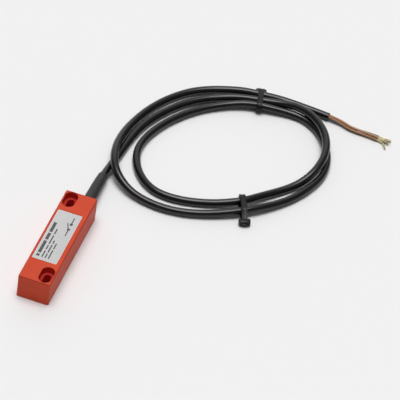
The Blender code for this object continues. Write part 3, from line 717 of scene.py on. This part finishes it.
def printed_label():
    """Pale film with rows of plain bars and a contact sign."""
    material, tree, shader = shader_tree("printed_label")
    place = object_place(tree)
    parts = tree.nodes.new("ShaderNodeSeparateXYZ")
    tree.links.new(place, parts.inputs[0])
    x = calc(tree, "MULTIPLY", calc(tree, "SUBTRACT", parts.outputs["X"], LABEL_LOW.x), 1 / MM)
    y = calc(tree, "MULTIPLY", calc(tree, "SUBTRACT", parts.outputs["Y"], LABEL_LOW.y), 1 / MM)
    axes = (x, y)
    rows = [printed_bars(tree, axes, *row) for row in PRINT_ROWS]
    print_mask = highest(tree, [*rows, contact_symbol(tree, axes)])
    cloud = noise(tree, place, scale=900.0)
    film = blend_colours(tree, from_noise(tree, cloud), (0.515, 0.510, 0.515), (0.575, 0.570, 0.575))
    rim = calc(tree, "MULTIPLY", rim_mask(tree, axes, RIM_WIDTH), RIM_SHARE)
    edged = blend_colours(tree, rim, film, RIM_COLOUR)
    ink = calc(tree, "MULTIPLY", print_mask, from_noise(tree, cloud, 0.86, 0.97))
    colour = blend_colours(tree, ink, edged, INK_COLOUR)
    tree.links.new(colour, shader.inputs["Base Color"])
    tree.links.new(from_noise(tree, cloud, 0.32, 0.42), shader.inputs["Roughness"])
    bump(tree, shader, cloud, depth=0.004 * MM)
    return material


# Housing


def cuboid(name, low, high):
    """A box primitive between two corners."""
    bpy.ops.object.select_all(action="DESELECT")
    middle = (Vector(low) + Vector(high)) / 2
    bpy.ops.mesh.primitive_cube_add(size=1.0, location=middle, scale=Vector(high) - Vector(low))
    made = bpy.context.object
    made.name = name
    bpy.ops.object.transform_apply(location=True, rotation=True, scale=True)
    return made


def choose_edges(piece, wanted):
    """In edit mode, selects only the edges whose two ends pass the test."""
    pick(piece)
    bpy.ops.object.mode_set(mode="EDIT")
    bpy.ops.mesh.select_mode(type="EDGE")
    form = bmesh.from_edit_mesh(piece.data)
    for face in form.faces:
        face.select_set(False)
    for edge in form.edges:
        edge.select_set(bool(wanted(edge.verts[0].co, edge.verts[1].co)))
    form.select_flush_mode()
    bmesh.update_edit_mesh(piece.data)


def choose_faces(piece, wanted):
    """In edit mode, selects only the faces that pass the test of middle and normal."""
    pick(piece)
    bpy.ops.object.mode_set(mode="EDIT")
    bpy.ops.mesh.select_mode(type="FACE")
    form = bmesh.from_edit_mesh(piece.data)
    for face in form.faces:
        face.select_set(bool(wanted(face.calc_center_median(), face.normal)))
    bmesh.update_edit_mesh(piece.data)


def round_uprights(piece, radius, segments):
    """Rounds the upright corners of a box."""
    choose_edges(piece, lambda a, b: abs(a.z - b.z) > MM and (a - b).xy.length < CLOSE)
    bpy.ops.mesh.bevel(offset=radius, segments=segments, affect="EDGES")
    bpy.ops.object.mode_set(mode="OBJECT")


def round_top(piece, top, radius, segments):
    """Rounds the upper edges of a block."""
    choose_edges(piece, lambda a, b: min(a.z, b.z) > top - CLOSE)
    bpy.ops.mesh.bevel(offset=radius, segments=segments, affect="EDGES")
    bpy.ops.object.mode_set(mode="OBJECT")


def soften_edges(piece, width, segments):
    """A narrow bevel on every edge that is still sharp."""
    edge = piece.modifiers.new("edge", "BEVEL")
    edge.width = width
    edge.segments = segments
    edge.limit_method = "ANGLE"
    edge.angle_limit = SHARP_EDGE
    apply_all(piece)


def slot_cutter(name, width, place, bottom, top):
    """A cylinder drawn out along Y into a slot."""
    bpy.ops.object.select_all(action="DESELECT")
    bpy.ops.mesh.primitive_cylinder_add(
        vertices=ROUND_SIDES,
        radius=width / 2,
        depth=top - bottom,
        location=(*place, (bottom + top) / 2),
        rotation=(0, 0, math.pi / ROUND_SIDES),
    )
    made = bpy.context.object
    made.name = name
    bpy.ops.object.transform_apply(location=True, rotation=True, scale=True)
    for side in (-1, 1):
        pick(made)
        bpy.ops.object.mode_set(mode="EDIT")
        bpy.ops.mesh.select_mode(type="VERT")
        form = bmesh.from_edit_mesh(made.data)
        for vertex in form.verts:
            vertex.select_set((vertex.co.y - place[1]) * side > 0)
        bmesh.update_edit_mesh(made.data)
        bpy.ops.transform.translate(value=(0, side * SLOT_TRAVEL / 2, 0))
        bpy.ops.object.mode_set(mode="OBJECT")
    return made


def cut(target, tools, operation="DIFFERENCE"):
    """Cuts or joins the tools into the target and removes them."""
    for tool in tools:
        modifier = target.modifiers.new(tool.name, "BOOLEAN")
        modifier.operation = operation
        modifier.object = tool
    apply_all(target)
    for tool in tools:
        bpy.data.objects.remove(tool)


def column_tools(label, width, bottom, top):
    """What fills the column round each slot, out to the corner that it stands in."""
    made = []
    for x, y in SLOTS:
        made.append(slot_cutter(f"{label}_column", width, (x, y), bottom, top))
        arc_y = y + math.copysign(SLOT_TRAVEL / 2, y)
        far_x, far_y = math.copysign(PAST_X, x), math.copysign(PAST_Y, y)
        low = (min(x, far_x), min(arc_y, far_y), bottom)
        high = (max(x, far_x), max(arc_y, far_y), top)
        made.append(cuboid(f"{label}_corner", low, high))
    return made


def cavity(name, half_width, bottom, top, column_width):
    """The hollow between two heights, less the slot columns."""
    low = (-half_width, SIDE_WALL - REAR, bottom)
    high = (half_width, REAR - REAR_WALL, top)
    made = cuboid(name, low, high)
    round_uprights(made, CAVITY_CORNER, CAVITY_SEGMENTS)
    cut(made, column_tools(name, column_width, bottom - OVER, top + OVER))
    return made


def cable_cutter(name, radius, depth):
    """A cylinder round the cable's exit, into the rear face by this depth."""
    bpy.ops.object.select_all(action="DESELECT")
    bpy.ops.mesh.primitive_cylinder_add(
        vertices=ROUND_SIDES,
        radius=radius,
        depth=depth + OVER,
        location=(CABLE_EXIT.x, REAR + (OVER - depth) / 2, CABLE_HEIGHT),
        rotation=(math.pi / 2, 0, 0),
    )
    made = bpy.context.object
    made.name = name
    bpy.ops.object.transform_apply(location=True, rotation=True, scale=True)
    return made


def gate_cutter():
    """The round mark that the mould's gate leaves low on the front face."""
    bpy.ops.object.select_all(action="DESELECT")
    bpy.ops.mesh.primitive_cylinder_add(
        vertices=GATE_SIDES,
        radius=GATE_RADIUS,
        depth=2 * GATE_DEPTH,
        location=(GATE_X, HOUSING_LOW.y, GATE_HEIGHT),
        rotation=(math.pi / 2, 0, 0),
    )
    made = bpy.context.object
    made.name = "gate_mark"
    bpy.ops.object.transform_apply(location=True, rotation=True, scale=True)
    return made


def hollow_tools():
    """The hollow's two steps: the wider one under the board's ledges, the narrower one over them."""
    lower = HOUSING_HIGH.x - SIDE_WALL
    upper = lower - BOARD_LEDGE
    return [
        cavity("lower_hollow", lower, -OVER, LEDGE_HEIGHT, SLOT_COLUMN),
        cavity("upper_hollow", upper, LEDGE_HEIGHT - OVER, TOP - ROOF, COUNTERBORE_COLUMN),
    ]


def slot_tools():
    """The slots and the counterbores over them."""
    floor = TOP - COUNTERBORE_DEPTH
    tools = []
    for place in SLOTS:
        tools.append(slot_cutter("slot", SLOT_WIDTH, place, -OVER, TOP + OVER))
        tools.append(slot_cutter("counterbore", COUNTERBORE_WIDTH, place, floor, TOP + OVER))
    return tools


def recess_tool():
    """The recess that holds the label, wider than it by a groove all round."""
    grown = Vector((LABEL_GROOVE, LABEL_GROOVE, 0))
    low = Vector((LABEL_LOW.x, LABEL_LOW.y, TOP - LABEL_RECESS)) - grown
    high = Vector((LABEL_HIGH.x, LABEL_HIGH.y, TOP + OVER)) + grown
    recess = cuboid("label_recess", low, high)
    round_uprights(recess, LABEL_CORNER + LABEL_GROOVE, CORNER_SEGMENTS)
    return recess


def make_housing(red):
    """The moulded block: rounded edges, counterbored slots, label recess, hollow and gate mark."""
    housing = cuboid("housing_moulding", HOUSING_LOW, HOUSING_HIGH)
    round_uprights(housing, CORNER_RADIUS, CORNER_SEGMENTS)
    round_top(housing, TOP, TOP_ROUND, TOP_SEGMENTS)
    tools = [
        *hollow_tools(),
        *slot_tools(),
        recess_tool(),
        cable_cutter("boot_socket", BOOT_SOCKET_RADIUS, BOOT_SOCKET_DEPTH),
        cable_cutter("cable_hole", CABLE_HOLE_RADIUS, CABLE_HOLE_DEPTH),
        gate_cutter(),
    ]
    cut(housing, tools)
    soften_edges(housing, MOULD_EDGE, EDGE_SEGMENTS)
    smooth(housing, degrees=40)
    dress(housing, red, ["housing"])


def make_label(film):
    """The label plate, its corners and upper edge rounded."""
    label = cuboid("label_plate", LABEL_LOW, LABEL_HIGH)
    round_uprights(label, LABEL_CORNER, CORNER_SEGMENTS)
    round_top(label, LABEL_HIGH.z, LABEL_EDGE, EDGE_SEGMENTS)
    smooth(label, degrees=50)
    dress(label, film, ["label"])


# Cable


def mouth_sections(end, way):
    """The jacket's cut end: a rounded lip, then the mouth and the floor inside it."""
    inner = CABLE_RADIUS - JACKET_WALL
    profile = (
        (JACKET_LIP, CABLE_RADIUS),
        (JACKET_SHOULDER, CABLE_RADIUS - JACKET_EDGE),
        (0.0, CABLE_RADIUS - JACKET_LIP),
        (0.0, inner + JACKET_EDGE),
        (JACKET_EDGE, inner),
        (MOUTH_DEPTH, inner),
        (MOUTH_DEPTH, inner * MOUTH_FLOOR),
    )
    return [(end - way * back, way, radius) for back, radius in profile]


def make_cable(black):
    """The jacket, with a rounded mouth at its cut end where the cores come out."""
    points = smooth_curve(ROUTE, CABLE_POINTS)
    ways = directions(points)
    sections = [(p, way, CABLE_RADIUS) for p, way in zip(points[:-1], ways)]
    sections += mouth_sections(points[-1], ways[-1])
    jacket = tube("cable_skin", sections, CABLE_SIDES)
    recalculate(jacket)
    smooth(jacket, degrees=50)
    dress(jacket, black, ["cable_jacket"])
    return jacket, points


def core_points(start_angle, end_angle):
    """A core's middle line, laid round the bundle's own, from inside the jacket's mouth."""
    middle = smooth_curve(CORE_ROUTE, CORE_POINTS)
    step = (middle[1] - middle[0]).normalized()
    middle.insert(0, middle[0] - step * CORE_START)
    points = []
    for k, (point, way) in enumerate(zip(middle, directions(middle))):
        share = k / (len(middle) - 1)
        angle = math.radians(start_angle + (end_angle - start_angle) * share**CORE_TWIST_EASE)
        away = CORE_SPREAD + CORE_FLARE * share**CORE_FLARE_POWER
        points.append(point + outward(way, angle) * away)
    return points


def make_core(colour, material, metal):
    """An insulated core with its stripped wires."""
    start_angle, end_angle, tip = CORES[colour]
    points = core_points(start_angle, end_angle)
    ways = directions(points)
    sections = [(p, way, CORE_RADIUS) for p, way in zip(points, ways)]
    end, way = points[-1], ways[-1]
    sections.append((end + way * CORE_TIP, way, CORE_RADIUS - CORE_EDGE))
    sections.append((end + way * CORE_TIP, way, STRAND_RADIUS))
    core = tube(f"core_skin_{colour}", sections, CORE_SIDES)
    recalculate(core)
    smooth(core, degrees=50)
    dress(core, material, [f"core_{colour}"])
    wires = make_wires(colour, end, way, CABLE_EXIT + Vector(tip), metal)


def wire_sections(middle, k):
    """The sections of one wire: the last wire lies in the middle, the others twist round it."""
    sections = []
    for n, (point, way) in enumerate(zip(middle, directions(middle))):
        share = n / (len(middle) - 1)
        away = WIRE_AWAY * (1 + WIRE_SPLAY * share) if k < WIRES_ROUND else 0.0
        angle = math.radians(360 / WIRES_ROUND * k + WIRE_TWIST * share)
        sections.append((point + outward(way, angle) * away, way, WIRE_RADIUS))
    return sections


def make_wires(colour, start, way, tip, metal):
    """The fine wires of a stripped end, as one piece."""
    reach = (tip - start).length
    line = [start - way * WIRE_START, start, start + way * reach / 3, tip]
    middle = smooth_curve([point - CABLE_EXIT for point in line], WIRE_POINTS)
    wires = []
    for k in range(WIRES_ROUND + 1):
        wires.append(tube(f"wire_{colour}_{k}", wire_sections(middle, k), WIRE_SIDES))
    bundle = wires[0]
    pick(bundle)
    for wire in wires:
        wire.select_set(True)
    bpy.ops.object.join()
    bundle.name = f"wires_{colour}"
    recalculate(bundle)
    smooth(bundle, degrees=50)
    dress(bundle, metal, [f"strands_{colour}"])
    return bundle


def boot_rings(points):
    """The sleeve's rings, as centre and radius: out along its skin, round its tip, back in its bore."""
    start, end = REAR - BOOT_INSIDE, REAR + BOOT_OUTSIDE
    covered = [p for p in points[:BOOT_POINTS] if start <= p.y <= end]
    rings = []
    for p in covered:
        share = max(0.0, (p.y - REAR) / (end - REAR))
        rings.append((p, BOOT_ROOT_RADIUS + (BOOT_TIP_RADIUS - BOOT_ROOT_RADIUS) * share))
    last, radius = rings[-1]
    for ahead, drop in BOOT_TIP_STEPS:
        rings.append((last + Vector((0, ahead, 0)) * MM, radius - drop * MM))
    rings.append((last + Vector((0, BOOT_BORE_STEP, 0)) * MM, BOOT_BORE))
    rings += [(p, BOOT_BORE) for p in reversed(covered)]
    return rings


def make_boot(grey, points):
    """The strain relief: a tapered sleeve round the cable, with a rounded tip."""
    rings = boot_rings(points)
    first, radius = rings[0]
    bpy.ops.object.select_all(action="DESELECT")
    bpy.ops.mesh.primitive_circle_add(
        vertices=BOOT_SIDES,
        radius=radius,
        location=first,
        rotation=(math.pi / 2, 0, 0),
    )
    boot = bpy.context.object
    boot.name = "strain_relief"
    bpy.ops.object.mode_set(mode="EDIT")
    bpy.ops.mesh.select_all(action="SELECT")
    for (before, old), (centre, new) in zip(rings, rings[1:]):
        bpy.ops.mesh.extrude_region_move(TRANSFORM_OT_translate={"value": centre - before})
        bpy.ops.transform.resize(value=(new / old,) * 3, center_override=centre)
    bpy.ops.mesh.select_all(action="DESELECT")
    bpy.ops.mesh.select_mode(type="EDGE")
    bpy.ops.mesh.select_non_manifold()
    bpy.ops.mesh.bridge_edge_loops()
    bpy.ops.mesh.select_all(action="SELECT")
    bpy.ops.mesh.normals_make_consistent(inside=False)
    bpy.ops.object.mode_set(mode="OBJECT")
    bpy.ops.object.transform_apply(location=True, rotation=True, scale=True)
    smooth(boot, degrees=40)
    dress(boot, grey, ["cable_boot"])
    return boot


# Ties


def strands_through(path, middle, across):
    """Where the cable crosses a tie's upright plane, as distance along it and height."""
    along = Vector((-across.y, across.x, 0.0))
    found = []
    steps = [point - middle for point in path]
    for before, after in zip(steps, steps[1:]):
        low, high = before.dot(along), after.dot(along)
        if low * high > 0:
            continue
        point = before.lerp(after, low / (low - high))
        if abs(point.dot(across)) < TIE_REACH:
            found.append((point.dot(across), point.z))
    return sorted(found)


def belt(circles, grow, steps):
    """The tight outline round circles of place, height and radius, drawn out by this much."""
    outline = []
    for k in range(steps):
        angle = 2 * math.pi * k / steps
        way = Vector((math.cos(angle), math.sin(angle)))
        reach = [way.x * x + way.y * z + radius for x, z, radius in circles]
        x, z, radius = circles[reach.index(max(reach))]
        outline.append((x + way.x * (radius + grow), z + way.y * (radius + grow)))
    return outline


def strap_profile():
    """The strap's section, as place across it and height: two raised rails beside a groove."""
    side = TIE_WIDTH / 2
    rail = side - STRAP_RAIL
    half = [
        (side, 0.0),
        (side, TIE_THICKNESS - STRAP_CHAMFER_DROP),
        (side - STRAP_CHAMFER, TIE_THICKNESS),
        (rail, TIE_THICKNESS),
        (rail - STRAP_SLOPE, TIE_THICKNESS - STRAP_GROOVE),
    ]
    return [(-x, height) for x, height in half] + half[::-1]


def make_strap(name, circles):
    """The strap: a flat band round the circles, closed on itself."""
    profile = strap_profile()
    width = len(profile)
    columns = [belt(circles, height, STRAP_STEPS) for _, height in profile]
    vertices, faces = [], []
    for k in range(STRAP_STEPS):
        here, there = k * width, (k + 1) % STRAP_STEPS * width
        for j, (place, _) in enumerate(profile):
            x, z = columns[j][k]
            vertices.append((x, place, z))
            after = (j + 1) % width
            faces.append((here + j, here + after, there + after, there + j))
    mesh = bpy.data.meshes.new(name)
    mesh.from_pydata(vertices, [], faces)
    made = bpy.data.objects.new(name, mesh)
    bpy.context.scene.collection.objects.link(made)
    recalculate(made)
    return made


def make_tail(name, x, reach, middle):
    """The cut tail that stands out of the head's window."""
    side = TIE_WIDTH / 2 - TAIL_INSET
    half = TIE_THICKNESS / 2
    tail = cuboid(name, (x, -side, middle - half), (reach, side, middle + half))
    choose_edges(tail, lambda a, b: min(a.x, b.x) > reach - CLOSE)
    bpy.ops.mesh.bevel(offset=TAIL_ROUND, segments=TIE_SEGMENTS, affect="EDGES")
    bpy.ops.object.mode_set(mode="OBJECT")
    return tail


def make_head(name, x, bottom):
    """The tie's head: a rounded block with a window in its outer face, and the cut tail in it."""
    size = TIE_HEAD
    low = Vector((x - size.x / 2, -size.y / 2, bottom))
    head = cuboid(name, low, low + size)
    choose_edges(head, lambda a, b: abs(a.y - b.y) > MM or max(a.x, b.x) > x)
    bpy.ops.mesh.bevel(offset=HEAD_ROUND, segments=TIE_SEGMENTS, affect="EDGES")
    choose_faces(head, lambda middle, normal: normal.x > FACING)
    bpy.ops.mesh.inset(thickness=WINDOW_RIM, depth=0)
    bpy.ops.mesh.inset(thickness=WINDOW_SLOPE, depth=-WINDOW_DEPTH)
    bpy.ops.object.mode_set(mode="OBJECT")
    tail = make_tail(f"{name}_tail", x, x + size.x / 2 + TIE_TAIL, bottom + size.z / 2)
    return [head, tail]


def make_tie(label, path, nylon):
    """One cable tie, in its own upright plane, then turned and moved to its place."""
    middle, across, head_slack = TIES[label]
    across = across.normalized()
    strands = strands_through(path, CABLE_EXIT + middle, across)
    radius = CABLE_RADIUS + TIE_SLACK
    circles = [(x, z, radius) for x, z in strands]
    circles[0] = (strands[0][0] - TIE_SKEW, strands[0][1], radius)
    circles[-1] = (strands[-1][0] + TIE_SKEW, strands[-1][1], radius)
    head_bottom = min(z for _, z in strands) - radius - TIE_THICKNESS
    head_x = strands[-1][0] + CABLE_RADIUS + head_slack + TIE_HEAD.x / 2
    circles.append((head_x - TIE_THICKNESS, head_bottom + TIE_HEAD.z / 2, TIE_THICKNESS / 2))
    tie = make_strap(f"tie_{label}", circles)
    cut(tie, make_head(f"tie_{label}_head", head_x, head_bottom), "UNION")
    soften_edges(tie, TIE_EDGE, TIE_SEGMENTS)
    tie.location = CABLE_EXIT + middle
    tie.rotation_euler.z = math.atan2(across.y, across.x)
    pick(tie)
    bpy.ops.object.transform_apply(location=True, rotation=True, scale=True)
    smooth(tie, degrees=35)
    dress(tie, nylon, [f"cable_tie_{label}"])
    return tie


# Pieces inside the housing keep their solids


def poured_resin():
    """Dark potting resin with a shallow, wavy skin."""
    dark, light = (0.018, 0.018, 0.02), (0.03, 0.03, 0.034)
    return speckled("poured_resin", dark, light, 90.0, 0.25, depth=0.2 * MM)


def solder():
    """Bright solder, a little uneven."""
    dark, light = (0.45, 0.45, 0.46), (0.62, 0.62, 0.64)
    return speckled("solder", dark, light, 600.0, 0.25, metallic=1.0, depth=0.05 * MM)


def bright_metal(name, dark, light, scale, rough):
    """A bright metal, its colour a little uneven."""
    return speckled(name, dark, light, scale, rough, metallic=1.0)


def inner_core(colour, dark, light):
    """The insulation of a core inside the housing."""
    return speckled(f"inner_{colour}", dark, light, 500.0, 0.4)


def dress_inside():
    """Materials for the frame's own solids that stay: resin, board, capsules, cores and solder."""
    finishes = {
        "potting_resin": poured_resin(),
        "circuit_board": speckled("green_laminate", (0.02, 0.15, 0.05), (0.035, 0.2, 0.075), 700.0, 0.35),
        "reed_glass": clear_glass(),
        "reed_lead": bright_metal("tinned_wire", (0.55, 0.53, 0.46), (0.68, 0.66, 0.6), 500.0, 0.25),
        "reed_blade": bright_metal("rolled_contact", (0.62, 0.57, 0.42), (0.74, 0.7, 0.55), 900.0, 0.2),
        "soldered_end": solder(),
        "inner_core_brown": inner_core("brown", (0.22, 0.08, 0.035), (0.3, 0.12, 0.055)),
        "inner_core_tan": inner_core("tan", (0.3, 0.14, 0.07), (0.38, 0.18, 0.09)),
        "inner_core_blue": inner_core("blue", (0.025, 0.06, 0.14), (0.035, 0.08, 0.18)),
        "inner_core_black": inner_core("black", (0.016, 0.016, 0.016), (0.024, 0.024, 0.024)),
    }
    for name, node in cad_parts.items():
        for start, material in finishes.items():
            if name.startswith(start):
                node.data.materials.clear()
                node.data.materials.append(material)


# Studio


def add_floor():
    """A pale matt floor."""
    bpy.ops.object.select_all(action="DESELECT")
    bpy.ops.mesh.primitive_plane_add(size=FLOOR_SIZE, location=(0, 0, -FLOOR_DROP))
    floor = bpy.context.object
    floor.name = "floor"
    material, _, shader = shader_tree("pale_floor")
    shader.inputs["Base Color"].default_value = (0.842, 0.838, 0.842, 1.0)
    shader.inputs["Roughness"].default_value = 0.9
    shader.inputs["Specular IOR Level"].default_value = 0.1
    floor.data.materials.append(material)


def add_surround():
    """A dim room with a bright ceiling patch and a broad bright patch behind the object."""
    world = bpy.data.worlds.new("studio")
    bpy.context.scene.world = world
    world.use_nodes = True
    tree = world.node_tree
    direction = tree.nodes.new("ShaderNodeTexCoord").outputs["Generated"]
    strength = ROOM_STRENGTH
    for middle, full, edge, bright in PATCHES.values():
        near = tree.nodes.new("ShaderNodeVectorMath")
        near.operation = "DOT_PRODUCT"
        tree.links.new(direction, near.inputs[0])
        near.inputs[1].default_value = middle.normalized()
        start, end = math.cos(math.radians(edge)), math.cos(math.radians(full))
        patch = spread(tree, near.outputs["Value"], start, end, 0.0, bright)
        strength = calc(tree, "ADD", patch, strength)
    ground = tree.nodes["Background"]
    ground.inputs["Color"].default_value = (1.0, 1.0, 1.0, 1.0)
    tree.links.new(strength, ground.inputs["Strength"])


def make_cores():
    """The four cores with their stripped ends, brown, tan, blue-grey and black."""
    metal = bright_metal("bare_wire", (0.42, 0.36, 0.17), (0.68, 0.62, 0.38), 900.0, 0.3)
    finishes = {
        "brown": insulation("brown_insulation", (0.28, 0.13, 0.055), (0.36, 0.17, 0.08), 0.35),
        "tan": insulation("tan_insulation", (0.38, 0.20, 0.10), (0.47, 0.255, 0.135), 0.35),
        "blue": insulation("blue_insulation", (0.07, 0.12, 0.17), (0.10, 0.17, 0.24), 0.35),
        "black": insulation("black_insulation", (0.014, 0.014, 0.016), (0.022, 0.022, 0.025), 0.35),
    }
    for colour in CORES:
        make_core(colour, finishes[colour], metal)


def black_nylon():
    """The ties' black nylon, satin with a weak shine."""
    dark, light = (0.005, 0.005, 0.005), (0.009, 0.009, 0.009)
    return speckled("black_nylon", dark, light, 600.0, 0.28, specular=0.26)


def main():
    """Camera and cords first, then the housing, its inside and the studio."""
    add_camera()
    bpy.context.scene.view_settings.view_transform = "Standard"
    jacket, path = make_cable(black_jacket())
    make_cores()
    boot = make_boot(grey_elastomer(), path)
    nylon = black_nylon()
    ties = [make_tie(label, path, nylon) for label in TIES]
    make_housing(moulded_red())
    make_label(printed_label())
    dress_inside()
    add_floor()
    add_surround()


main()
